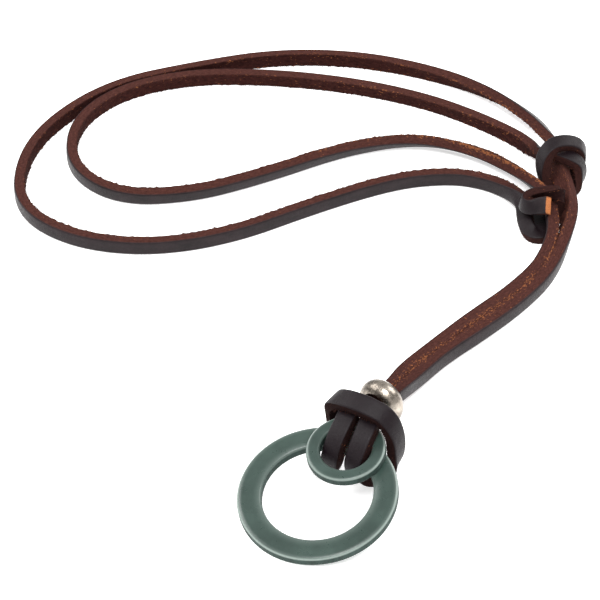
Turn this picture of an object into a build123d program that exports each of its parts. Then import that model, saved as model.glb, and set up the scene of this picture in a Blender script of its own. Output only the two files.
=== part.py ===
from build123d import *
import math
import os
from collections import namedtuple

os.makedirs("parts", exist_ok=True)

# Leather cord necklace with two stone rings and a metal bead, lying flat on a surface.
# Millimetres, +Z up, Z = 0 is the surface, and the origin is under the middle of the rings and the bead.

# Lace: one flat leather lace, smooth outside and rough inside, mostly standing on edge
lace_width = 4.2
lace_thickness = 3.0
knot_thickness = 2.4
bead_thickness = 2.6
squeezed_thickness = 2.1

# Rings: two flat rings of stone, the small one lying on the large one
ring_large_diameter = 39.4
ring_large_hole = 27.3
ring_small_diameter = 19.6
ring_small_hole = 12.8
ring_thickness = 2.5
ring_edge_radius = 0.6
ring_gap = 0.05

# The rings lean on the lace that passes under them: their lowest rim touches the surface
rings_tilt = 12.4
rings_uphill = 53.5
rings_centre_x = -0.87
rings_centre_y = -8.76
small_ring_uphill = 12.95
small_ring_left = 0.3

# Bead: a round metal bead lying on the surface, both strands of the lace pass through it
bead_diameter = 12.5
strand_gap = 0.32
bore_clearance = 0.5
bead_bore = 2 * math.hypot(strand_gap / 2 + bead_thickness, lace_width / 2) + bore_clearance
bead_length = 6.2
bead_lip_radius = 0.5
bead_axis = 50.0
bead_x = 15.2
bead_y = 23.3

# Route of the lace from end to end: the corners that its straight runs and bends follow, the compass
# angle and height angle that its smooth side faces, in degrees, and its thickness there, less where
# a knot, the hitch or the bead squeezes it.
route = [
    # x, y, z, facing, height, thickness
    # upper knot, from its hidden end
    (69.4, 126.3, 1.2, 0, -90, squeezed_thickness),
    (71.0, 126.8, 1.2, 0, -90, squeezed_thickness),
    (72.8, 127.8, 1.3, 0, -88, squeezed_thickness),
    (74.6, 128.8, 3.0, 20, -45, knot_thickness),
    (75.3, 128.1, 6.2, -6, 0, knot_thickness),
    (74.0, 127.1, 10.0, -24, 53, knot_thickness),
    (70.6, 126.3, 11.8, -82, 72, knot_thickness),
    (66.2, 124.7, 12.2, -131, 62, knot_thickness),
    (63.4, 121.9, 9.8, -155, 35, knot_thickness),
    (63.4, 119.3, 5.6, -170, 5, knot_thickness),
    (65.0, 117.5, 2.4, -170, -35, knot_thickness),
    (68.2, 116.5, 1.2, 0, -90, squeezed_thickness),
    (72.0, 117.4, 1.2, 0, -88, squeezed_thickness),
    (74.2, 119.5, 3.8, -25, -5, squeezed_thickness),
    (74.3, 121.5, 7.0, -15, 35, squeezed_thickness),
    (72.0, 122.3, 8.4, 0, 80, squeezed_thickness),
    (68.5, 123.8, 9.0, 100, 84, squeezed_thickness),
    (64.3, 127.1, 7.5, 70, 52, squeezed_thickness),
    (63.8, 131.1, 4.3, 65, 20, knot_thickness),
    (61.5, 136.1, 2.6, 59, 5, lace_thickness),
    # inner loop, anticlockwise from the upper knot
    (57.1, 141.9, 2.3, 50, 0, lace_thickness),
    (46.2, 150.9, 2.4, 54, 12, lace_thickness),
    (31.7, 160.0, 2.4, 64, 12, lace_thickness),
    (10.7, 167.9, 2.4, 75, 10, lace_thickness),
    (-14.3, 172.3, 2.4, 84, 8, lace_thickness),
    (-39.1, 172.5, 2.3, 100, 4, lace_thickness),
    (-60.1, 163.9, 2.3, 129, 4, lace_thickness),
    (-71.9, 146.7, 2.3, 165, 5, lace_thickness),
    (-70.7, 125.7, 2.2, -155, 0, lace_thickness),
    (-56.3, 112.7, 2.4, -108, -8, lace_thickness),
    (-35.3, 114.0, 2.5, -76, -15, lace_thickness),
    (-14.8, 123.2, 2.5, -63, -15, lace_thickness),
    (7.7, 135.7, 2.5, -68, -15, lace_thickness),
    (28.2, 140.7, 2.6, -91, -25, lace_thickness),
    (44.9, 135.1, 2.7, -118, -38, lace_thickness),
    # left strand, through the lower knot and down to the bead
    (56.7, 124.8, 2.7, -140, -38, lace_thickness),
    (62.5, 113.5, 4.6, -158, -15, lace_thickness),
    (64.2, 106.8, 5.3, -170, 0, bead_thickness),
    (64.5, 100.1, 5.2, 177, 0, bead_thickness),
    (64.1, 93.2, 4.3, 165, 0, bead_thickness),
    (61.9, 86.7, 2.8, 155, 0, lace_thickness),
    (58.4, 79.8, 2.3, 146, 0, lace_thickness),
    (50.5, 69.9, 2.3, 140, 0, lace_thickness),
    (39.6, 59.2, 2.3, 135, 0, lace_thickness),
    (29.3, 47.8, 2.4, 138, 0, lace_thickness),
    (21.3, 37.9, 3.2, 148, 0, lace_thickness),
    # through the bead, round both rings and back through the bead
    (17.6, 28.7, 6.1, 140, 0, bead_thickness),
    (14.1, 24.2, 6.3, 140, 0, bead_thickness),
    (10.3, 19.6, 7.2, 140, 0, bead_thickness),
    (9.4, 16.8, 10.9, 142, 13, knot_thickness),
    (7.5, 12.4, 15.2, 129, 69, knot_thickness),
    (6.3, 8.0, 15.4, -131, 61, knot_thickness),
    (3.5, 2.9, 12.4, -131, 25, knot_thickness),
    (1.9, 0.3, 6.7, -131, -12, knot_thickness),
    (2.8, 4.4, 4.1, -87, -73, knot_thickness),
    (4.3, 10.9, 5.4, 88, -60, knot_thickness),
    (3.7, 14.6, 10.4, 116, 5, knot_thickness),
    (2.8, 13.8, 16.2, 148, 38, knot_thickness),
    (6.6, 9.6, 19.4, -145, 66, knot_thickness),
    (11.6, 6.4, 19.7, -131, 67, knot_thickness),
    (15.9, 4.6, 18.2, -69, 55, knot_thickness),
    (18.3, 3.4, 12.7, -33, 18, knot_thickness),
    (18.3, 2.1, 7.1, -37, -18, knot_thickness),
    (15.8, -0.5, 3.7, -9, -68, knot_thickness),
    (10.3, -2.2, 3.7, -131, -65, knot_thickness),
    (7.5, -2.5, 7.2, -131, -12, knot_thickness),
    (8.8, -0.6, 12.3, -131, 25, knot_thickness),
    (11.2, 4.0, 15.5, -131, 61, knot_thickness),
    (12.4, 8.4, 15.3, -31, 69, knot_thickness),
    (12.2, 14.3, 11.4, -45, 21, knot_thickness),
    (12.4, 17.8, 7.2, -40, 0, bead_thickness),
    (16.3, 22.4, 6.3, -40, 0, bead_thickness),
    (19.9, 26.9, 6.1, -40, 0, bead_thickness),
    # right strand, up to the upper knot and through it
    (24.5, 35.2, 3.2, -33, 0, lace_thickness),
    (32.1, 45.3, 2.4, -42, 5, lace_thickness),
    (43.3, 55.8, 2.3, -45, 5, lace_thickness),
    (53.5, 66.5, 2.3, -41, 0, lace_thickness),
    (61.7, 77.5, 2.3, -30, 0, lace_thickness),
    (66.6, 89.6, 3.0, -19, -5, lace_thickness),
    (70.2, 101.5, 5.0, -12, -8, bead_thickness),
    (70.0, 111.7, 5.0, -1, -20, bead_thickness),
    (69.0, 120.7, 4.6, 8, -16, bead_thickness),
    (69.4, 129.7, 4.6, 14, 5, bead_thickness),
    (66.3, 139.7, 4.3, 20, 30, lace_thickness),
    (62.3, 150.5, 2.9, 32, 35, lace_thickness),
    # outer loop, anticlockwise from the upper knot
    (51.3, 163.7, 2.6, 49, 18, lace_thickness),
    (35.2, 174.2, 2.3, 64, 5, lace_thickness),
    (12.7, 182.3, 2.2, 79, 0, lace_thickness),
    (-12.8, 183.3, 2.2, 97, 0, lace_thickness),
    (-38.3, 176.1, 2.2, 108, 0, lace_thickness),
    (-60.8, 167.5, 2.2, 123, 0, lace_thickness),
    (-77.3, 150.2, 2.2, 146, 0, lace_thickness),
    (-85.1, 131.2, 2.2, 170, 0, lace_thickness),
    (-84.6, 108.7, 2.2, -157, 0, lace_thickness),
    (-69.9, 94.7, 2.2, -117, 0, lace_thickness),
    (-47.8, 90.0, 2.2, -89, 0, lace_thickness),
    (-24.3, 95.7, 2.2, -68, 0, lace_thickness),
    (-1.7, 109.1, 2.2, -61, 0, lace_thickness),
    (21.2, 120.6, 2.2, -69, 0, lace_thickness),
    (37.2, 123.1, 2.2, -90, 0, lace_thickness),
    (46.7, 120.7, 2.2, -112, 0, lace_thickness),
    # lower knot, to the cut end
    (52.3, 117.0, 2.3, -120, 3, lace_thickness),
    (55.7, 112.7, 2.9, -128, 20, lace_thickness),
    (57.3, 107.4, 3.9, -132, 50, knot_thickness),
    (57.0, 101.9, 3.5, -135, 65, knot_thickness),
    (57.7, 98.0, 2.4, -125, 62, knot_thickness),
    (59.9, 96.2, 1.6, -105, 80, knot_thickness),
    (62.7, 97.6, 1.3, 0, 90, squeezed_thickness),
    (62.2, 101.4, 1.3, 0, 90, squeezed_thickness),
    (66.6, 104.1, 1.5, 180, 68, squeezed_thickness),
    (67.1, 104.7, 5.1, 180, 3, squeezed_thickness),
    (67.1, 104.9, 8.5, 172, 0, squeezed_thickness),
    (65.5, 104.9, 10.2, 120, 5, squeezed_thickness),
    (62.2, 104.7, 9.9, 95, 12, squeezed_thickness),
    (59.4, 105.2, 9.0, 105, 12, knot_thickness),
    (57.3, 104.7, 8.3, 145, 10, knot_thickness),
    (56.7, 102.6, 8.0, -170, 10, knot_thickness),
    (58.1, 101.1, 8.0, -120, 18, knot_thickness),
    (60.0, 101.0, 8.4, -120, 30, knot_thickness),
    (61.6, 100.4, 9.0, -122, 38, knot_thickness),
    (63.1, 99.6, 9.7, -125, 42, knot_thickness),
]

# The stretches of the lace: the rows of the route that each one takes
stretches = {
    "knot_upper": (0, 19),
    "lace_inner": (20, 34),
    "lace_drop_left": (35, 45),
    "lace_hitch": (46, 72),
    "lace_drop_right": (73, 84),
    "lace_outer": (85, 100),
    "knot_lower": (101, 120),
}

bend_share = 0.45
section_turn = 14.0

Station = namedtuple("Station", "point facing thickness")


def direction(azimuth, height):
    """The unit vector of a compass angle and a height angle in degrees."""
    level = math.cos(math.radians(height))
    return Vector(
        level * math.cos(math.radians(azimuth)),
        level * math.sin(math.radians(azimuth)),
        math.sin(math.radians(height)),
    )


stations = [
    Station(Vector(x, y, z), direction(facing, height), thickness)
    for x, y, z, facing, height, thickness in route
]


def between(start, end, share):
    """The station at a share of the way from one station to another."""
    return Station(
        start.point + (end.point - start.point) * share,
        start.facing + (end.facing - start.facing) * share,
        start.thickness + (end.thickness - start.thickness) * share,
    )


def bend(before, corner, after):
    """The reach, radius and turn in radians of the largest even bend between two runs."""
    run_in = corner.point - before.point
    run_out = after.point - corner.point
    turn = math.radians(run_in.get_angle(run_out))
    reach = bend_share * min(run_in.length, run_out.length)
    return reach, reach / math.tan(turn / 2), turn


bends = [bend(*stations[i - 1 : i + 2]) for i in range(1, len(stations) - 1)]


def stretch_stations(first, last):
    """The stations of one stretch. It starts and ends halfway along a run, or at an end of the lace."""
    chosen = stations[first : last + 1]
    if first > 0:
        chosen = [between(stations[first - 1], stations[first], 0.5)] + chosen
    if last < len(stations) - 1:
        chosen = chosen + [between(stations[last], stations[last + 1], 0.5)]
    return chosen


def lace_sections(first, last):
    """The planes across the lace and its thicknesses, from end to end of one stretch, and its length."""
    chosen = stretch_stations(first, last)
    corners = chosen[1:-1]
    corner_bends = bends[max(first, 1) - 1 : min(last, len(stations) - 2)]
    way = FilletPolyline(
        *[station.point for station in chosen],
        radius=[radius for _, radius, _ in corner_bends],
        mode=Mode.PRIVATE,
    )
    marks = [(0.0, chosen[0])]
    travelled = 0.0
    reach_before = 0.0
    for before, corner, after, (reach, radius, turn) in zip(chosen, corners, chosen[2:], corner_bends):
        run_in = (corner.point - before.point).length
        run_out = (after.point - corner.point).length
        travelled += run_in - reach_before - reach
        enter = between(before, corner, 1 - reach / run_in)
        leave = between(corner, after, reach / run_out)
        steps = max(1, math.ceil(math.degrees(turn) / section_turn))
        for step in range(steps + 1):
            share = step / steps
            blend = between(between(enter, corner, share), between(corner, leave, share), share)
            marks.append((travelled + share * radius * turn, blend))
        travelled += radius * turn
        reach_before = reach
    marks.append((way.length, chosen[-1]))
    planes = []
    for distance, station in marks:
        across = Plane(
            origin=way.position_at(distance, PositionMode.LENGTH),
            x_dir=station.facing,
            z_dir=way.tangent_at(distance, PositionMode.LENGTH),
        )
        planes.append((across, station.thickness))
    return planes, way.length


# Rings' own plane: X points uphill, Y to the left of it, and Z = 0 is the large ring's underside
def rim_height(outer_radius, edge_radius, tilt):
    """How high the middle of a leaning disc's underside stands when its rounded rim touches Z = 0."""
    lean = math.radians(tilt)
    return (outer_radius - edge_radius) * math.sin(lean) + edge_radius * (1 - math.cos(lean))


uphill = direction(rings_uphill, rings_tilt)
rings_normal = direction(rings_uphill + 180, 90 - rings_tilt)
rings_origin = Vector(
    rings_centre_x,
    rings_centre_y,
    rim_height(ring_large_diameter / 2, ring_edge_radius, rings_tilt),
)
rings_plane = Plane(origin=rings_origin, x_dir=uphill, z_dir=rings_normal)
small_ring_plane = rings_plane.offset(ring_thickness + ring_gap)

# Large ring
with BuildPart() as ring_large:
    with BuildSketch(rings_plane):
        Circle(ring_large_diameter / 2)
        Circle(ring_large_hole / 2, mode=Mode.SUBTRACT)
    extrude(amount=ring_thickness)
    fillet(ring_large.edges().filter_by(GeomType.CIRCLE), ring_edge_radius)
ring_large.part.label = "ring_large"
export_step(ring_large.part, "parts/ring_large.step")

# Small ring, lying on the large ring with its far rim over the large ring's rim
with BuildPart() as ring_small:
    with BuildSketch(small_ring_plane):
        with Locations((small_ring_uphill, small_ring_left)):
            Circle(ring_small_diameter / 2)
            Circle(ring_small_hole / 2, mode=Mode.SUBTRACT)
    extrude(amount=ring_thickness)
    fillet(ring_small.edges().filter_by(GeomType.CIRCLE), ring_edge_radius)
ring_small.part.label = "ring_small"
export_step(ring_small.part, "parts/ring_small.step")

# Bead, turned from a profile with a bulging outside about its level axis
bead_plane = Plane(
    origin=(bead_x, bead_y, bead_diameter / 2),
    x_dir=direction(bead_axis, 0),
    z_dir=direction(bead_axis - 90, 0),
)
with BuildPart() as bead:
    with BuildSketch(bead_plane):
        with BuildLine():
            ThreePointArc(
                (-bead_length / 2, bead_bore / 2),
                (0, bead_diameter / 2),
                (bead_length / 2, bead_bore / 2),
            )
            Line((bead_length / 2, bead_bore / 2), (-bead_length / 2, bead_bore / 2))
        make_face()
    revolve(axis=Axis(bead_plane.origin, bead_plane.x_dir))
    fillet(bead.edges().filter_by(GeomType.CIRCLE), bead_lip_radius)
bead.part.label = "bead"
export_step(bead.part, "parts/bead.step")

# The lace, one stretch after another, each lofted through the rectangles across it
lace_length = 0.0
for name, (first_row, last_row) in stretches.items():
    planes, length = lace_sections(first_row, last_row)
    with BuildPart() as stretch:
        for across, thickness in planes:
            with BuildSketch(across):
                Rectangle(thickness, lace_width)
        loft(ruled=True)
    stretch.part.label = name
    export_step(stretch.part, f"parts/{name}.step")
    mean_thickness = sum(thickness for _, thickness in planes) / len(planes)
    share = stretch.part.volume / (mean_thickness * lace_width * length)
    print(f"{name}: length {length:.1f} mm, volume {share:.3f} of section x length")
    lace_length += length

print(f"lace length {lace_length:.0f} mm")
print("bend radii, mm:", [round(radius, 1) for _, radius, _ in bends])
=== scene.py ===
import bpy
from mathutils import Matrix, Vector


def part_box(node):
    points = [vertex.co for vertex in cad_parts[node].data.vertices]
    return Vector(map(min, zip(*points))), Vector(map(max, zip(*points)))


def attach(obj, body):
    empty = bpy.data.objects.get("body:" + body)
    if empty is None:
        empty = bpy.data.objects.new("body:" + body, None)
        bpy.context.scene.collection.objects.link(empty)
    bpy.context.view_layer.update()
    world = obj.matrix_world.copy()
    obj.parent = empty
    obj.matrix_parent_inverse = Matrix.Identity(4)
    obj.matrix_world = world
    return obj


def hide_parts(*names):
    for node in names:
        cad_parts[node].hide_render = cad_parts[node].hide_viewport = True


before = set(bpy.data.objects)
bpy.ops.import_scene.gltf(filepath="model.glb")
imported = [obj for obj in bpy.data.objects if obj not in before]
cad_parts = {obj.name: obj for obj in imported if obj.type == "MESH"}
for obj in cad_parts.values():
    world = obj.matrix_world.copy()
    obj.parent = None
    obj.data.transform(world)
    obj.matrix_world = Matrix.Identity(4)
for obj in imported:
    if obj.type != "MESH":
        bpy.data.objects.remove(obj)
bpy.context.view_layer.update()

import math

import bpy
import numpy as np
from mathutils import Vector, noise

# Leather cord necklace lying on a pale floor. Metres, in the part's own frame.


def place_in_scene(name, data):
    """A new object that holds this data, put in the scene."""
    made = bpy.data.objects.new(name, data)
    bpy.context.collection.objects.link(made)
    return made


def aim_at(thing, place, aim):
    """Puts a camera or a light in its place and turns it to what it looks at."""
    thing.location = place
    thing.rotation_euler = (Vector(aim) - Vector(place)).to_track_quat("-Z", "Y").to_euler()


# Camera, at the photograph's angle
camera_data = bpy.data.cameras.new("camera")
camera_data.lens = 144.0
camera_data.sensor_width = 36.0
camera_data.clip_start = 0.05
camera_data.clip_end = 20.0
camera = place_in_scene("camera", camera_data)
aim_at(camera, (-0.0053, -0.4234, 0.4146), (-0.0053, 0.0707, 0.0))
bpy.context.scene.camera = camera

# Lace: its route from end to end, the compass angle and height angle that its smooth side faces, in
# degrees, and its thickness and width there.
route = [
    # x, y, z in metres, facing, height, thickness, width in millimetres
    # upper knot, from its hidden end
    (0.0648, 0.1262, 0.0012, 0, -90, 2.3, 6.6),
    (0.0702, 0.1247, 0.0012, 0, -90, 2.3, 7.4),
    (0.0730, 0.1258, 0.0013, 0, -88, 2.3, 7.0),
    (0.0746, 0.1288, 0.0030, 20, -45, 2.6, 4.2),
    (0.0753, 0.1281, 0.0062, -6, 0, 2.6, 4.2),
    (0.0740, 0.1271, 0.0100, -24, 53, 2.6, 4.2),
    (0.0706, 0.1263, 0.0118, -82, 72, 2.6, 4.2),
    (0.0662, 0.1247, 0.0122, -131, 62, 2.6, 4.2),
    (0.0634, 0.1219, 0.0098, -155, 35, 3.0, 4.2),
    (0.0634, 0.1193, 0.0056, -170, 5, 3.0, 4.2),
    (0.0650, 0.1175, 0.0024, -170, -35, 3.0, 4.2),
    (0.0682, 0.1165, 0.0012, 0, -90, 2.3, 4.2),
    (0.0720, 0.1174, 0.0012, 0, -88, 2.3, 4.2),
    (0.0742, 0.1195, 0.0038, -25, -5, 2.3, 4.2),
    (0.0743, 0.1215, 0.0070, -15, 35, 2.3, 4.2),
    (0.0720, 0.1228, 0.0084, 0, 80, 2.3, 5.2),
    (0.0685, 0.1238, 0.0090, 100, 84, 2.3, 4.2),
    (0.0643, 0.1271, 0.0075, 70, 52, 2.3, 4.2),
    (0.0638, 0.1311, 0.0043, 65, 20, 2.6, 4.2),
    (0.0615, 0.1361, 0.0026, 59, 5, 3.0, 4.2),
    # inner loop, anticlockwise from the upper knot
    (0.0571, 0.1419, 0.0023, 50, 0, 3.0, 4.2),
    (0.0462, 0.1509, 0.0024, 54, 12, 3.0, 4.2),
    (0.0317, 0.1600, 0.0024, 64, 12, 3.0, 4.2),
    (0.0107, 0.1679, 0.0024, 75, 10, 3.0, 4.2),
    (-0.0143, 0.1723, 0.0024, 84, 8, 3.0, 4.2),
    (-0.0391, 0.1725, 0.0023, 100, 4, 3.0, 4.2),
    (-0.0601, 0.1639, 0.0023, 129, 4, 3.0, 4.2),
    (-0.0719, 0.1467, 0.0023, 165, 5, 3.0, 4.2),
    (-0.0707, 0.1257, 0.0022, -155, 0, 3.0, 4.2),
    (-0.0563, 0.1127, 0.0024, -108, -8, 3.0, 4.2),
    (-0.0353, 0.1140, 0.0025, -76, -15, 3.0, 4.2),
    (-0.0148, 0.1232, 0.0025, -63, -15, 3.0, 4.2),
    (0.0077, 0.1357, 0.0025, -68, -24, 3.0, 4.2),
    (0.0282, 0.1407, 0.0026, -91, -42, 3.0, 4.2),
    (0.0449, 0.1351, 0.0027, -118, -58, 3.0, 4.2),
    # left strand, through the lower knot and down to the bead
    (0.0567, 0.1248, 0.0027, -140, -54, 3.0, 4.2),
    (0.0625, 0.1135, 0.0046, -158, -24, 3.0, 4.2),
    (0.0642, 0.1068, 0.0053, -170, 0, 3.2, 4.2),
    (0.0645, 0.1001, 0.0052, 177, 0, 3.4, 4.2),
    (0.0642, 0.0932, 0.0043, 165, 0, 3.4, 4.2),
    (0.0620, 0.0866, 0.0028, 155, 0, 3.5, 4.2),
    (0.0586, 0.0796, 0.0023, 146, 0, 3.8, 4.2),
    (0.0508, 0.0696, 0.0023, 140, 0, 4.1, 4.2),
    (0.0399, 0.0589, 0.0023, 135, 0, 4.2, 4.2),
    (0.0295, 0.0476, 0.0024, 138, 0, 3.7, 4.2),
    (0.0215, 0.0378, 0.0032, 148, 0, 3.7, 4.2),
    # through the bead, round both rings and back through the bead
    (0.0176, 0.0287, 0.0061, 140, 0, 2.9, 4.2),
    (0.0141, 0.0242, 0.0063, 140, 0, 2.9, 4.2),
    (0.0103, 0.0196, 0.0072, 140, 0, 2.9, 4.2),
    (0.0094, 0.0168, 0.0109, 142, 13, 2.6, 4.6),
    (0.0075, 0.0124, 0.0152, 129, 69, 2.6, 5.0),
    (0.0063, 0.0080, 0.0154, -131, 61, 2.6, 5.0),
    (0.0035, 0.0029, 0.0124, -131, 25, 2.6, 5.0),
    (0.0019, 0.0003, 0.0067, -131, -12, 2.6, 5.0),
    (0.0028, 0.0044, 0.0041, -87, -73, 2.6, 5.0),
    (0.0043, 0.0109, 0.0054, 88, -60, 2.6, 5.0),
    (0.0037, 0.0146, 0.0104, 116, 5, 2.6, 5.0),
    (0.0028, 0.0138, 0.0162, 148, 38, 2.6, 5.0),
    (0.0066, 0.0096, 0.0194, -145, 66, 2.6, 5.0),
    (0.0116, 0.0064, 0.0197, -131, 67, 2.6, 5.0),
    (0.0159, 0.0046, 0.0182, -69, 55, 2.6, 5.0),
    (0.0183, 0.0034, 0.0127, -33, 18, 2.6, 5.0),
    (0.0183, 0.0021, 0.0071, -37, -18, 2.6, 5.0),
    (0.0158, -0.0005, 0.0037, -9, -68, 2.6, 5.0),
    (0.0103, -0.0022, 0.0037, -131, -65, 2.6, 5.0),
    (0.0075, -0.0025, 0.0072, -131, -12, 2.6, 5.0),
    (0.0088, -0.0006, 0.0123, -131, 25, 2.6, 5.0),
    (0.0112, 0.0040, 0.0155, -131, 61, 2.6, 5.0),
    (0.0124, 0.0084, 0.0153, -31, 69, 2.6, 5.0),
    (0.0122, 0.0143, 0.0114, -45, 21, 2.6, 4.6),
    (0.0124, 0.0178, 0.0072, -40, 0, 2.9, 4.2),
    (0.0163, 0.0224, 0.0063, -40, 0, 2.9, 4.2),
    (0.0199, 0.0269, 0.0061, -40, 0, 2.9, 4.2),
    # right strand, up to the upper knot and through it
    (0.0243, 0.0353, 0.0032, -33, 0, 3.7, 4.2),
    (0.0319, 0.0455, 0.0024, -42, 5, 3.7, 4.2),
    (0.0430, 0.0561, 0.0023, -45, 5, 4.2, 4.2),
    (0.0532, 0.0668, 0.0023, -41, 0, 4.1, 4.2),
    (0.0615, 0.0776, 0.0023, -30, 0, 3.6, 4.2),
    (0.0666, 0.0896, 0.0030, -19, -5, 3.4, 4.2),
    (0.0698, 0.1015, 0.0050, -12, -26, 3.3, 4.6),
    (0.0695, 0.1117, 0.0051, -1, -42, 3.4, 4.7),
    (0.0684, 0.1207, 0.0049, 8, -42, 3.4, 4.7),
    (0.0690, 0.1297, 0.0048, 14, -10, 3.2, 4.4),
    (0.0663, 0.1397, 0.0043, 20, 45, 3.0, 4.2),
    (0.0623, 0.1505, 0.0030, 32, 52, 3.0, 4.2),
    # outer loop, anticlockwise from the upper knot
    (0.0513, 0.1637, 0.0028, 49, 40, 3.0, 4.2),
    (0.0352, 0.1742, 0.0024, 64, 16, 3.0, 4.2),
    (0.0127, 0.1823, 0.0022, 79, 0, 3.0, 4.2),
    (-0.0128, 0.1833, 0.0022, 97, 0, 3.0, 4.2),
    (-0.0383, 0.1761, 0.0022, 108, 0, 3.0, 4.2),
    (-0.0608, 0.1675, 0.0022, 123, 0, 3.0, 4.2),
    (-0.0773, 0.1502, 0.0022, 146, 0, 3.0, 4.2),
    (-0.0851, 0.1312, 0.0022, 170, 0, 3.0, 4.2),
    (-0.0846, 0.1087, 0.0022, -157, 0, 3.0, 4.2),
    (-0.0699, 0.0947, 0.0022, -117, 0, 3.0, 4.2),
    (-0.0478, 0.0900, 0.0022, -89, 0, 3.0, 4.2),
    (-0.0243, 0.0957, 0.0022, -68, 0, 3.0, 4.2),
    (-0.0017, 0.1091, 0.0022, -61, 0, 3.0, 4.2),
    (0.0212, 0.1206, 0.0022, -69, 0, 3.0, 4.2),
    (0.0372, 0.1231, 0.0022, -90, 0, 3.0, 4.2),
    (0.0467, 0.1207, 0.0022, -112, 0, 3.0, 4.2),
    # lower knot, to the cut end
    (0.0523, 0.1170, 0.0023, -120, 3, 3.0, 4.2),
    (0.0557, 0.1127, 0.0029, -128, 20, 3.0, 4.2),
    (0.0573, 0.1074, 0.0039, -132, 50, 2.6, 4.2),
    (0.0570, 0.1019, 0.0035, -135, 65, 2.6, 4.2),
    (0.0577, 0.0980, 0.0024, -125, 62, 2.6, 4.2),
    (0.0599, 0.0962, 0.0016, -105, 80, 2.6, 4.2),
    (0.0624, 0.0977, 0.0013, 0, 90, 2.3, 5.2),
    (0.0601, 0.1054, 0.0013, 0, 90, 2.3, 5.6),
    (0.0666, 0.1043, 0.0016, 180, 68, 2.3, 4.8),
    (0.0671, 0.1047, 0.0051, 180, 3, 2.3, 4.2),
    (0.0671, 0.1049, 0.0085, 172, 0, 2.3, 4.2),
    (0.0655, 0.1049, 0.0102, 120, 5, 2.3, 4.2),
    (0.0622, 0.1047, 0.0099, 95, 12, 2.3, 4.2),
    (0.0594, 0.1052, 0.0090, 105, 12, 2.6, 4.2),
    (0.0573, 0.1047, 0.0083, 145, 10, 2.6, 4.2),
    (0.0567, 0.1026, 0.0080, -170, 10, 2.6, 4.2),
    (0.0581, 0.1011, 0.0080, -120, 18, 2.8, 4.2),
    (0.0600, 0.1010, 0.0084, -120, 30, 3.0, 4.5),
    (0.0616, 0.1004, 0.0090, -122, 38, 3.0, 4.8),
    (0.0631, 0.0996, 0.0097, -125, 42, 3.0, 4.9),
]

mm_per_m = 1000
seed = 11

# The distance between two rings of the lace's mesh, and how far it stays above the floor
ring_step = 0.00065
floor_lift = 0.00004

# Rows of the route where the upper knot ends, where the bead and the hitch begin and end, and where the
# lower knot begins
upper_knot_end = 18
hitch_start = 47
hitch_end = 71
lower_knot_start = 98


def direction(azimuth, height):
    """The unit vector of a compass angle and a height angle in degrees."""
    level = math.cos(math.radians(height))
    return (
        level * math.cos(math.radians(azimuth)),
        level * math.sin(math.radians(azimuth)),
        math.sin(math.radians(height)),
    )


def smooth_line(points):
    """Points read along a smooth curve that has these control points."""
    curve = bpy.data.curves.new("line", "CURVE")
    curve.dimensions = "3D"
    spline = curve.splines.new("NURBS")
    spline.points.add(len(points) - 1)
    for place, point in zip(spline.points, points):
        place.co = (*point, 1.0)
    spline.order_u = 3
    spline.use_endpoint_u = True
    spline.resolution_u = 24
    holder = bpy.data.objects.new("line", curve)
    read = bpy.data.meshes.new_from_object(holder)
    found = np.array([v.co for v in read.vertices], float)
    bpy.data.meshes.remove(read)
    bpy.data.objects.remove(holder)
    bpy.data.curves.remove(curve)
    return found


# The third number of each size is the row of the route that a point belongs to, in hundreds of rows
rows_per_unit = 100
centres = smooth_line([row[0:3] for row in route])
facings = smooth_line([direction(row[3], row[4]) for row in route])
sizes = smooth_line(
    [(row[5] / mm_per_m, row[6] / mm_per_m, number / rows_per_unit) for number, row in enumerate(route)]
)

# Even rings along the lace
travelled = np.concatenate([[0.0], np.cumsum(np.linalg.norm(np.diff(centres, axis=0), axis=1))])
lace_length = float(travelled[-1])
ring_count = int(round(lace_length / ring_step)) + 1
marks = np.linspace(0.0, lace_length, ring_count)


def along(values):
    """Values read along the curve, at the even rings."""
    return np.stack([np.interp(marks, travelled, column) for column in values.T], axis=1)


def unit(vectors):
    return vectors / np.linalg.norm(vectors, axis=1)[:, None]


centre = along(centres)
tangent = unit(np.gradient(centre, axis=0))
facing = along(facings)
facing = unit(facing - tangent * (facing * tangent).sum(axis=1)[:, None])
across = np.cross(tangent, facing)
thickness, width, row_at = along(sizes).T
row_at = row_at * rows_per_unit

# Section of the lace, in halves of its thickness and of its width: the smooth grain side is crowned and
# has soft corners, and the rough flesh side is flat between two sharper ones
crown = 0.045
grain_rounding = 0.34
grain_rounding_across = grain_rounding * 0.72
flesh_rounding = 0.16


def near_arris(a, b, flesh):
    """1 at the arris between an edge and the rough side, less away from it."""
    if flesh > 0.9:
        return 0.15 + 0.75 * b * b
    return min(1.0, max(0.0, (-0.1 - a) / 0.74))


def section():
    """Points round the section: how far towards the smooth side and how far across, and how much of
    the smooth side, of the rough side and of the arris is there."""
    half = []
    for b in np.linspace(-1, 1, 9):
        half.append((1.0 + crown * (1 - b * b), b * (1 - grain_rounding_across), 1.0, 0.0))
    smooth_side = len(half)
    for angle in (25, 48, 72):
        turn = math.radians(angle)
        a = 1 - grain_rounding + grain_rounding * math.cos(turn)
        b = 1 - grain_rounding_across + grain_rounding_across * math.sin(turn)
        half.append((a, b, 1.0 if angle < 60 else 0.5, 0.0))
    for a in np.linspace(1 - grain_rounding, -1 + flesh_rounding, 5):
        half.append((a, 1.0, 0.0, 0.0))
    half.append((-1 + 0.06, 0.975, 0.0, 0.35))
    half.append((-1.0, 0.93, 0.0, 0.75))
    rough_side = [(-1.0, b, 0.0, 1.0) for b in np.linspace(0.8, -0.8, 9)]
    other_edge = [(a, -b, grain, flesh) for a, b, grain, flesh in reversed(half[smooth_side:])]
    rows = half + rough_side + other_edge
    return np.array([(a, b, grain, flesh, near_arris(a, b, flesh)) for a, b, grain, flesh in rows])


profile = section()
corners = len(profile)

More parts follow.
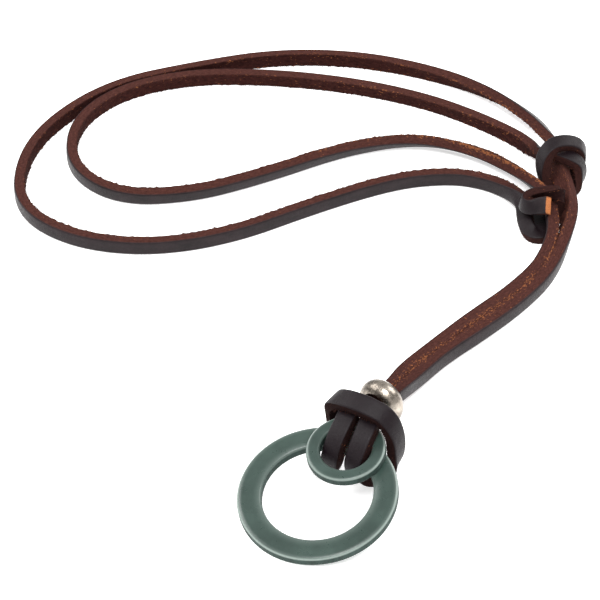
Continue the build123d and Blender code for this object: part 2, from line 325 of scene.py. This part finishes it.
# How uneven the lace is: swelling as a share of its size, and wear in millimetres
thickness_swell = 0.022
width_swell = 0.018
rough_side_wear = 0.13
arris_wear = 0.12
arris_rags = 0.42
arris_fuzz = 0.09
edge_wear = 0.055
end_bulge = 0.12
end_wear = 0.06


def wave(place, scale, octaves=2):
    """Uneven height at a place, mostly between -1 and 1."""
    scaled = Vector((place[0] * scale, place[1] * scale, place[2] * scale))
    return noise.fractal(scaled, 0.6, 2.1, octaves)


def swell(step, lane, share):
    """Slow change of a size along the lace."""
    return 1 + share * noise.noise(Vector((step, lane, seed)))


def wear(s, a, b, grain, flesh):
    """How far a point of the section is sunk at the rough side, and how far it stands out sideways."""
    if flesh > 0.9:
        return rough_side_wear * wave((s, b * 2.1, 4.0), 1.5) / mm_per_m, 0.0
    if flesh > 0:
        lane = 5.0 if b > 0 else 9.0
        ragged = arris_rags * max(0.0, wave((s, lane, a), 1.2, 3)) + arris_fuzz * wave((s, b, 7.0), 2.6)
        rough = arris_wear * wave((s, b * 2.1, 4.0), 1.5)
        return rough / mm_per_m + 0.6 * ragged / mm_per_m, ragged / mm_per_m
    if grain < 0.5:
        lane = 12.0 if b > 0 else 15.0
        return 0.0, edge_wear * wave((s, a * 1.5, lane), 1.6) / mm_per_m
    return 0.0, 0.0


def share_along(pairs):
    """A share at every ring of the lace, from pairs of a row of its route and the share there."""
    rows, values = zip(*pairs)
    return np.interp(row_at, rows, values)


# How many orange specks show
specks = share_along(
    [
        (0, 0.2), (15, 0.2), (19, 0.7), (21, 0.6), (24, 0.45), (28, 0.3), (31, 0.45), (33, 0.9),
        (34.3, 1.6), (35.5, 1.4), (37, 0.9), (43, 1.0), (46, 0.9), (47.5, 0.1), (71, 0.1), (72.5, 0.9),
        (76, 1.0), (79, 0.5), (84, 0.9), (87, 0.6), (92, 0.4), (98, 0.35), (101, 0.7), (120, 0.2),
    ]
)

# How much painted shade darkens the edges, the rough side and the smooth side in the knots, the hitch
# and the hidden end
painted_shade_along = share_along(
    [
        (0, 0.6), (17, 0.5), (20, 0.0), (34, 0.0), (36, 0.15), (44, 0.0), (47, 0.3), (49, 0.8),
        (69, 0.8), (71, 0.3), (74, 0.0), (100, 0.0), (103, 0.6), (117, 0.6), (120, 0.2),
    ]
)

# Painted light: how far the rough side is lightened to the colour of the edges where it lies in shade
lights = share_along(
    [
        (0, 0.0), (31, 0.0), (33, 0.6), (37, 0.9), (45, 0.9), (48, 0.0),
        (70, 0.0), (73, 0.9), (82, 0.9), (84, 0.0), (120, 0.0),
    ]
)

vertices = np.zeros((ring_count, corners, 3))
lace_place = np.zeros((ring_count, corners, 3))
for i in range(ring_count):
    s = marks[i] * mm_per_m
    half_thick = thickness[i] / 2 * swell(s / 9, 3.1, thickness_swell)
    half_wide = width[i] / 2 * swell(s / 13, 8.3, width_swell)
    for j in range(corners):
        a, b, grain, flesh = profile[j, :4]
        sunk, sideways = wear(s, a, b, grain, flesh)
        at_a = a * half_thick - sunk
        at_b = b * half_wide + math.copysign(sideways, b)
        vertices[i, j] = centre[i] + facing[i] * at_a + across[i] * at_b
        lace_place[i, j] = (s, at_b * mm_per_m, at_a * mm_per_m)

# The floor holds it up
vertices[:, :, 2] = np.maximum(vertices[:, :, 2], floor_lift)

faces = []
for i in range(ring_count - 1):
    for j in range(corners):
        k = (j + 1) % corners
        faces.append((i * corners + j, i * corners + k, (i + 1) * corners + k, (i + 1) * corners + j))

points = vertices.reshape(-1, 3).tolist()
places = lace_place.reshape(-1, 3).tolist()
shares = {
    "grain_share": np.tile(profile[:, 2], ring_count).tolist(),
    # The rough side's share, less where painted light gives it the colour of the edges
    "flesh_share": np.outer(1 - lights, profile[:, 3]).ravel().tolist(),
    "arris_share": np.tile(profile[:, 4], ring_count).tolist(),
    "speck_share": np.repeat(specks, corners).tolist(),
    "painted_shade_share": np.repeat(painted_shade_along, corners).tolist(),
    "cut_share": [0.0] * len(points),
}


def close_end(ring_number, outward, painted_shade, cut_rim, cut):
    """Closes an end of the lace with smaller copies of its last ring, a little uneven."""
    before = [ring_number * corners + j for j in range(corners)]
    for step, shrink in enumerate((0.97, 0.8, 0.6, 0.4, 0.2)):
        now = []
        for j in range(corners):
            offset = vertices[ring_number, j] - centre[ring_number]
            flat = centre[ring_number] + offset * shrink
            bulge = end_bulge * (1 - shrink) + end_wear * wave((j * 0.7, shrink * 9, ring_number), 1.0)
            point = flat + tangent[ring_number] * outward * bulge / mm_per_m
            now.append(len(points))
            points.append(point.tolist())
            places.append((lace_place[ring_number, j] * np.array([1, shrink, shrink])).tolist())
            grain = shares["grain_share"][before[j]] * 0.5 if step == 0 else 0.0
            shares["grain_share"].append(grain)
            shares["painted_shade_share"].append(painted_shade)
            shares["cut_share"].append(cut_rim if step == 0 else cut)
            for name in ("flesh_share", "arris_share", "speck_share"):
                shares[name].append(0.0)
        for j in range(corners):
            k = (j + 1) % corners
            quad = (before[j], before[k], now[k], now[j])
            faces.append(quad if outward > 0 else quad[::-1])
        before = now
    faces.append(tuple(before) if outward > 0 else tuple(before[::-1]))


# The hidden end gets dark painted shade, and the end that shows is freshly cut
close_end(0, outward=-1.0, painted_shade=0.9, cut_rim=0.0, cut=0.0)
close_end(ring_count - 1, outward=1.0, painted_shade=0.0, cut_rim=0.4, cut=1.0)

lace_mesh = bpy.data.meshes.new("lace")
lace_mesh.from_pydata(points, [], [tuple(reversed(face)) for face in faces])
lace_mesh.polygons.foreach_set("use_smooth", [True] * len(lace_mesh.polygons))
stored = lace_mesh.attributes.new("lace_place", "FLOAT_VECTOR", "POINT")
stored.data.foreach_set("vector", np.array(places, float).ravel())
for share_name, values in shares.items():
    stored = lace_mesh.attributes.new(share_name, "FLOAT", "POINT")
    stored.data.foreach_set("value", np.array(values, float))
lace_mesh.update()
lace = place_in_scene("lace", lace_mesh)

# Nap: short fibres that stand off the rough side and its two arrises
fibre_count = 15000
fibre_half_width = 0.00005
fibre_root = 0.00003
longest_fibre = 0.0010
fibre_lift = 0.00005
random = np.random.default_rng(seed)
nap_points = []
nap_faces = []
flesh_columns = [j for j in range(corners) if profile[j, 3] > 0.3]
arris_columns = [j for j in flesh_columns if profile[j, 3] < 0.9]
for number in range(fibre_count):
    i = int(random.integers(2, ring_count - 2))
    columns = arris_columns if number % 4 else flesh_columns
    j = columns[int(random.integers(0, len(columns)))]
    root = vertices[i, j] + facing[i] * fibre_root
    away = -facing[i] * random.uniform(0.2, 1.0)
    away = away + across[i] * profile[j, 1] * random.uniform(0.1, 1.1)
    away = away / np.linalg.norm(away)
    lean = tangent[i] * random.normal(0, 0.7)
    reach = min(random.gamma(3.0, 0.00013), longest_fibre)
    side = tangent[i] * fibre_half_width
    tip = root + (away + lean * 0.6) * reach
    middle = root + (away + lean * 0.2) * reach * 0.55
    tip[2] = max(tip[2], fibre_lift)
    middle[2] = max(middle[2], floor_lift)
    first = len(nap_points)
    nap_points += [root - side, root + side, middle + side * 0.7, middle - side * 0.7, tip]
    nap_faces += [
        (first, first + 1, first + 2, first + 3),
        (first + 3, first + 2, first + 4),
    ]
nap_mesh = bpy.data.meshes.new("lace_nap")
nap_mesh.from_pydata([list(map(float, point)) for point in nap_points], [], nap_faces)
nap_mesh.update()
nap = place_in_scene("lace_nap", nap_mesh)


def new_material(name):
    """A new material, its nodes and its shader."""
    material = bpy.data.materials.new(name)
    material.use_nodes = True
    tree = material.node_tree
    return material, tree, tree.nodes["Principled BSDF"]


def node(tree, kind, **values):
    """A new node with these sockets and settings."""
    made = tree.nodes.new(kind)
    for key, value in values.items():
        if key in made.inputs:
            made.inputs[key].default_value = value
        else:
            setattr(made, key, value)
    return made


def feed(tree, socket, value):
    """Gives a socket a number, a colour or the output of another node."""
    if isinstance(value, (int, float)):
        socket.default_value = value
    elif isinstance(value, tuple):
        socket.default_value = (*value, 1.0)
    else:
        tree.links.new(value, socket)


def share_of(tree, name):
    """A share that the lace's mesh holds."""
    stored = node(tree, "ShaderNodeAttribute", attribute_type="GEOMETRY", attribute_name=name)
    return stored.outputs["Fac"]


def object_place(tree):
    return node(tree, "ShaderNodeTexCoord").outputs["Object"]


def noise_of(tree, coordinates, scale, detail=4.0, roughness=0.6, stretch=(1, 1, 1)):
    mapping = node(tree, "ShaderNodeMapping", Scale=stretch)
    tree.links.new(coordinates, mapping.inputs["Vector"])
    made = node(tree, "ShaderNodeTexNoise", Scale=scale, Detail=detail, Roughness=roughness)
    tree.links.new(mapping.outputs["Vector"], made.inputs["Vector"])
    return made.outputs["Fac"]


def ramp(tree, value, stops):
    """A colour read from stops, each a position and a colour."""
    made = tree.nodes.new("ShaderNodeValToRGB")
    tree.links.new(value, made.inputs["Fac"])
    for number, (position, colour) in enumerate(stops):
        if number < 2:
            stop = made.color_ramp.elements[number]
        else:
            stop = made.color_ramp.elements.new(position)
        stop.position = position
        stop.color = (*colour, 1.0)
    return made.outputs["Color"]


def mix(tree, share, first, second):
    """A colour between two others."""
    made = node(tree, "ShaderNodeMix", data_type="RGBA")
    feed(tree, made.inputs["Factor"], share)
    feed(tree, made.inputs[6], first)
    feed(tree, made.inputs[7], second)
    return made.outputs[2]


def between(tree, share, first, second):
    """A number between two others."""
    made = node(tree, "ShaderNodeMix", data_type="FLOAT")
    feed(tree, made.inputs["Factor"], share)
    feed(tree, made.inputs[2], first)
    feed(tree, made.inputs[3], second)
    return made.outputs[0]


def sums(tree, operation, *values, clamp=False):
    """One step of arithmetic on numbers or outputs."""
    made = node(tree, "ShaderNodeMath", operation=operation, use_clamp=clamp)
    for number, value in enumerate(values):
        feed(tree, made.inputs[number], value)
    return made.outputs["Value"]


def bump(tree, height, distance, strength=1.0, base=None):
    made = node(tree, "ShaderNodeBump", Strength=strength, Distance=distance)
    tree.links.new(height, made.inputs["Height"])
    if base is not None:
        tree.links.new(base, made.inputs["Normal"])
    return made.outputs["Normal"]


# Leather's colours: lists of a level of its pattern and the colour there, and single colours
grain_browns = [(0.3, (0.0075, 0.0043, 0.0052)), (0.7, (0.0180, 0.0108, 0.0125))]
flesh_browns = [(0.3, (0.013, 0.0034, 0.0030)), (0.72, (0.054, 0.0160, 0.0132))]
edge_browns = [(0.28, (0.034, 0.0118, 0.0098)), (0.72, (0.103, 0.038, 0.0305))]
cut_tans = [(0.3, (0.40, 0.125, 0.045)), (0.7, (0.74, 0.28, 0.105))]
# Painted shade: the darker colours of the lace in the knots, the hitch and the hidden end
painted_shade_leather = (0.0085, 0.0048, 0.0052)
painted_shade_grain = (0.0052, 0.0026, 0.0042)
speck_orange = (0.26, 0.092, 0.038)
speck_threshold = 0.80
speck_sharpness = 12.0


def leather(name, specular):
    """Leather with a smooth side, a matt rough side and edges, specks, painted shade in the knots and
    the hitch, and a cut end.
    """
    material, tree, shader = new_material(name)
    stored = node(tree, "ShaderNodeAttribute", attribute_type="GEOMETRY", attribute_name="lace_place")
    place = stored.outputs["Vector"]
    grain_side = share_of(tree, "grain_share")
    speck_amount = share_of(tree, "speck_share")
    painted_shade = share_of(tree, "painted_shade_share")

    grain_colour = ramp(tree, noise_of(tree, place, 0.35, 5.0, 0.65, (0.5, 1, 1)), grain_browns)
    flesh_colour = ramp(tree, noise_of(tree, place, 1.6, 6.0, 0.75, (0.55, 1, 1)), flesh_browns)
    edge_colour = ramp(tree, noise_of(tree, place, 1.9, 6.0, 0.7, (0.45, 1, 1)), edge_browns)
    cut_colour = ramp(tree, noise_of(tree, place, 3.2, 5.0, 0.7), cut_tans)

    # Specks gather in patches and along the arrises, and none lies on the smooth side
    speck_noise = noise_of(tree, place, 1.9, 3.0, 0.6, (0.6, 1.2, 1.2))
    speck_patch = noise_of(tree, place, 0.16, 2.0, 0.5)
    at_arris = sums(tree, "MULTIPLY", share_of(tree, "arris_share"), speck_amount)
    speck_level = sums(tree, "MULTIPLY_ADD", speck_patch, 0.22, speck_noise)
    speck_level = sums(tree, "MULTIPLY_ADD", speck_amount, 0.04, speck_level)
    speck_level = sums(tree, "MULTIPLY_ADD", at_arris, 0.15, speck_level)
    speck_mask = sums(tree, "SUBTRACT", speck_level, speck_threshold)
    speck_mask = sums(tree, "MULTIPLY", speck_mask, speck_sharpness, clamp=True)
    off_grain = sums(tree, "SUBTRACT", 1.0, grain_side, clamp=True)
    speck_mask = sums(tree, "MULTIPLY", speck_mask, off_grain)

    # Where painted light lessens the rough side's share, it takes the colour of the edges
    colour = mix(tree, share_of(tree, "flesh_share"), edge_colour, flesh_colour)
    # Painted shade darkens the edges, the rough side and the smooth side in the knots and the hitch
    colour = mix(tree, painted_shade, colour, painted_shade_leather)
    colour = mix(tree, speck_mask, colour, speck_orange)
    colour = mix(tree, grain_side, colour, mix(tree, painted_shade, grain_colour, painted_shade_grain))
    colour = mix(tree, share_of(tree, "cut_share"), colour, cut_colour)
    feed(tree, shader.inputs["Base Color"], colour)

    smoothness = noise_of(tree, place, 1.2, 4.0, 0.6)
    grain_roughness = sums(tree, "MULTIPLY_ADD", smoothness, 0.34, 0.26)
    feed(tree, shader.inputs["Roughness"], between(tree, grain_side, 0.92, grain_roughness))
    shader.inputs["Specular IOR Level"].default_value = specular

    pore = noise_of(tree, place, 4.5, 4.0, 0.6, (0.7, 1, 1))
    crease = noise_of(tree, place, 0.9, 4.0, 0.7, (1.6, 0.35, 0.35))
    grain_height = sums(tree, "MULTIPLY", sums(tree, "MULTIPLY_ADD", crease, 1.3, pore), 0.6)
    nap_height = sums(tree, "MULTIPLY", noise_of(tree, place, 3.0, 7.0, 0.8, (0.6, 1, 1)), 5.5)
    height = between(tree, grain_side, nap_height, grain_height)
    feed(tree, shader.inputs["Normal"], bump(tree, height, 0.00012))
    return material


# The smooth side takes the first leather, or the third in the knots and the hitch, and the rest of the
# lace takes the second
lace_mesh.materials.append(leather("leather_grain", specular=0.16))
lace_mesh.materials.append(leather("leather_flesh", specular=0.05))
lace_mesh.materials.append(leather("leather_grain_painted_shade", specular=0.17))
kinds = [1] * len(faces)
for number in range((ring_count - 1) * corners):
    j = number % corners
    if profile[j, 2] >= 0.5 and profile[(j + 1) % corners, 2] >= 0.5:
        row_here = row_at[number // corners]
        in_hitch = hitch_start < row_here < hitch_end
        knotted = row_here < upper_knot_end or in_hitch or row_here > lower_knot_start
        kinds[number] = 2 if knotted else 0
lace_mesh.polygons.foreach_set("material_index", kinds)


def nap_fibre():
    """Matt fibres, some of them pale."""
    material, tree, shader = new_material("leather_nap")
    tone = noise_of(tree, object_place(tree), 900.0, 3.0, 0.6)
    browns = [(0.35, (0.022, 0.006, 0.004)), (0.62, (0.07, 0.023, 0.014)), (0.8, (0.17, 0.06, 0.028))]
    feed(tree, shader.inputs["Base Color"], ramp(tree, tone, browns))
    shader.inputs["Roughness"].default_value = 0.9
    shader.inputs["Specular IOR Level"].default_value = 0.2
    return material


nap_mesh.materials.append(nap_fibre())

# Stone rings. Both lean the same way, and their faces fall away softly towards both rims. Lighter bands
# and a bright line along the rims are painted highlights, and the darker walls are painted shade.
rings_axis = direction(-126.5, 77.6)
rim_line_width = 0.0003
outer_rim_painted_highlight = (0.155, 0.195, 0.178)
inner_rim_painted_highlight = (0.120, 0.155, 0.140)
rim_line_painted_highlight = (0.38, 0.46, 0.42)
wall_painted_shade = [(0.35, (0.006, 0.020, 0.015)), (0.65, (0.018, 0.042, 0.034))]


def vector_step(tree, operation, first, second, output="Vector"):
    """One step of vector arithmetic on an output and a fixed vector."""
    made = node(tree, "ShaderNodeVectorMath", operation=operation)
    tree.links.new(first, made.inputs[0])
    made.inputs[1].default_value = second
    return made.outputs[output]


def stone(name, ring, rim, hole, outer_band, inner_band, dark, light, shift):
    """Grey-green stone of a ring, from its node, its radius and its hole's radius, with painted
    highlights along its rims and painted shade on its walls.
    """
    material, tree, shader = new_material(name)
    middle = [round((low + high) / 2, 5) for low, high in zip(*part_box(ring))]
    place = object_place(tree)
    from_centre = vector_step(tree, "SUBTRACT", place, middle)
    around = vector_step(tree, "CROSS_PRODUCT", from_centre, rings_axis)
    reach = node(tree, "ShaderNodeVectorMath", operation="LENGTH")
    tree.links.new(around, reach.inputs[0])
    radius = reach.outputs["Value"]
    level = sums(tree, "ABSOLUTE", vector_step(tree, "DOT_PRODUCT", from_centre, rings_axis, "Value"))

    # Painted highlights in bands beside the rims and in a bright line along the outer rim, and the
    # walls, which take painted shade
    outer = sums(tree, "SUBTRACT", radius, rim - outer_band)
    outer = sums(tree, "MULTIPLY", outer, 1 / outer_band, clamp=True)
    outer = sums(tree, "MULTIPLY", outer, outer)
    inner = sums(tree, "SUBTRACT", hole + inner_band, radius)
    inner = sums(tree, "MULTIPLY", inner, 1 / inner_band, clamp=True)
    inner = sums(tree, "MULTIPLY", inner, inner)
    edge = sums(tree, "SUBTRACT", radius, rim - 2 * rim_line_width)
    edge = sums(tree, "MULTIPLY", edge, 1 / rim_line_width, clamp=True)
    wall = sums(tree, "MULTIPLY_ADD", level, -1 / rim_line_width, 3.6, clamp=True)

    shifted = node(tree, "ShaderNodeMapping", Location=(shift, shift * 2, 0))
    tree.links.new(place, shifted.inputs["Vector"])
    place = shifted.outputs["Vector"]
    cloud = noise_of(tree, place, 75.0, 5.0, 0.6)
    vein = noise_of(tree, place, 260.0, 6.0, 0.7)
    tone = sums(tree, "MULTIPLY_ADD", vein, 0.3, sums(tree, "MULTIPLY", cloud, 0.7))
    colour = ramp(tree, tone, [(0.36, dark), (0.64, light)])
    # Painted highlights: lighter bands beside both rims and a bright line along the outer rim
    colour = mix(tree, sums(tree, "MULTIPLY", outer, 0.7), colour, outer_rim_painted_highlight)
    colour = mix(tree, sums(tree, "MULTIPLY", inner, 0.7), colour, inner_rim_painted_highlight)
    colour = mix(tree, sums(tree, "MULTIPLY", edge, 0.42), colour, rim_line_painted_highlight)
    # Painted shade: the walls take a darker, streaked colour
    streak = noise_of(tree, place, 900.0, 3.0, 0.6, (1, 1, 0.15))
    colour = mix(tree, wall, colour, ramp(tree, streak, wall_painted_shade))
    feed(tree, shader.inputs["Base Color"], colour)

    roughness = sums(tree, "MULTIPLY_ADD", noise_of(tree, place, 420.0, 5.0, 0.65), 0.14, 0.22)
    feed(tree, shader.inputs["Roughness"], sums(tree, "MULTIPLY_ADD", wall, 0.5, roughness))
    shader.inputs["Specular IOR Level"].default_value = 0.45
    fall = sums(tree, "MULTIPLY", outer, -0.25 * outer_band)
    fall = sums(tree, "MULTIPLY_ADD", inner, -0.16 * inner_band, fall)
    pits = bump(tree, noise_of(tree, place, 700.0, 3.0, 0.5), 0.00002, 0.6)
    feed(tree, shader.inputs["Normal"], bump(tree, fall, 1.0, 1.0, pits))
    return material


stone_large = stone(
    "stone_grey_green",
    "ring_large",
    rim=0.0197,
    hole=0.01365,
    outer_band=0.0015,
    inner_band=0.0026,
    dark=(0.018, 0.034, 0.028),
    light=(0.035, 0.060, 0.050),
    shift=0.3,
)
stone_small = stone(
    "stone_grey_green_pale",
    "ring_small",
    rim=0.0098,
    hole=0.0064,
    outer_band=0.0011,
    inner_band=0.0009,
    dark=(0.018, 0.034, 0.028),
    light=(0.034, 0.058, 0.049),
    shift=0.9,
)


def worn_pewter():
    """Pewter with tarnish in its hollows, and small dents."""
    material, tree, shader = new_material("pewter_worn")
    place = object_place(tree)
    tarnish = noise_of(tree, place, 200.0, 6.0, 0.68)
    greys = [(0.36, (0.050, 0.042, 0.034)), (0.5, (0.27, 0.235, 0.20)), (0.66, (0.47, 0.42, 0.36))]
    feed(tree, shader.inputs["Base Color"], ramp(tree, tarnish, greys))
    shader.inputs["Metallic"].default_value = 1.0
    wear_marks = noise_of(tree, place, 520.0, 5.0, 0.6)
    feed(tree, shader.inputs["Roughness"], sums(tree, "MULTIPLY_ADD", wear_marks, 0.24, 0.16))
    dents = noise_of(tree, place, 190.0, 2.0, 0.5)
    scratches = noise_of(tree, place, 900.0, 4.0, 0.7)
    height = sums(tree, "MULTIPLY_ADD", dents, 2.0, scratches)
    feed(tree, shader.inputs["Normal"], bump(tree, height, 0.00015, 0.7))
    return material


finishes = {"ring_large": stone_large, "ring_small": stone_small, "bead": worn_pewter()}
for node_name, material in finishes.items():
    piece = bpy.data.objects[node_name]
    if not piece.material_slots:
        piece.data.materials.append(material)
    for material_slot in piece.material_slots:
        material_slot.material = material

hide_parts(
    "lace_hitch",
    "lace_drop_left",
    "lace_drop_right",
    "lace_outer",
    "lace_inner",
    "knot_upper",
    "knot_lower",
)
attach(lace, "root")
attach(nap, "root")

# Floor and light
floor_half = 3.0
floor_corners = [(x * floor_half, y * floor_half, 0) for x, y in ((-1, -1), (1, -1), (1, 1), (-1, 1))]
floor_mesh = bpy.data.meshes.new("floor")
floor_mesh.from_pydata(floor_corners, [], [(0, 1, 2, 3)])
place_in_scene("floor", floor_mesh)
paper, _, shader = new_material("paper_white")
shader.inputs["Base Color"].default_value = (0.93, 0.93, 0.93, 1.0)
shader.inputs["Roughness"].default_value = 0.9
shader.inputs["Emission Color"].default_value = (1.0, 1.0, 1.0, 1.0)
shader.inputs["Emission Strength"].default_value = 0.48
floor_mesh.materials.append(paper)

world = bpy.data.worlds.new("studio")
bpy.context.scene.world = world
world.use_nodes = True
background = world.node_tree.nodes["Background"]
background.inputs["Color"].default_value = (1.0, 0.995, 0.985, 1.0)
background.inputs["Strength"].default_value = 0.85


def soft_light(name, place, size, power):
    """A round soft light that shines on the middle of the necklace."""
    data = bpy.data.lights.new(name, "AREA")
    data.shape = "DISK"
    data.size = size
    data.energy = power
    aim_at(place_in_scene(name, data), place, (0, 0.07, 0))


soft_light("top", (0.0, -0.40, 1.20), size=0.8, power=15.0)
soft_light("left", (-0.98, 0.45, 0.85), size=0.8, power=9.0)
soft_light("right", (0.90, 0.60, 0.75), size=0.7, power=7.0)

bpy.context.scene.view_settings.view_transform = "Standard"
bpy.context.scene.view_settings.look = "None"
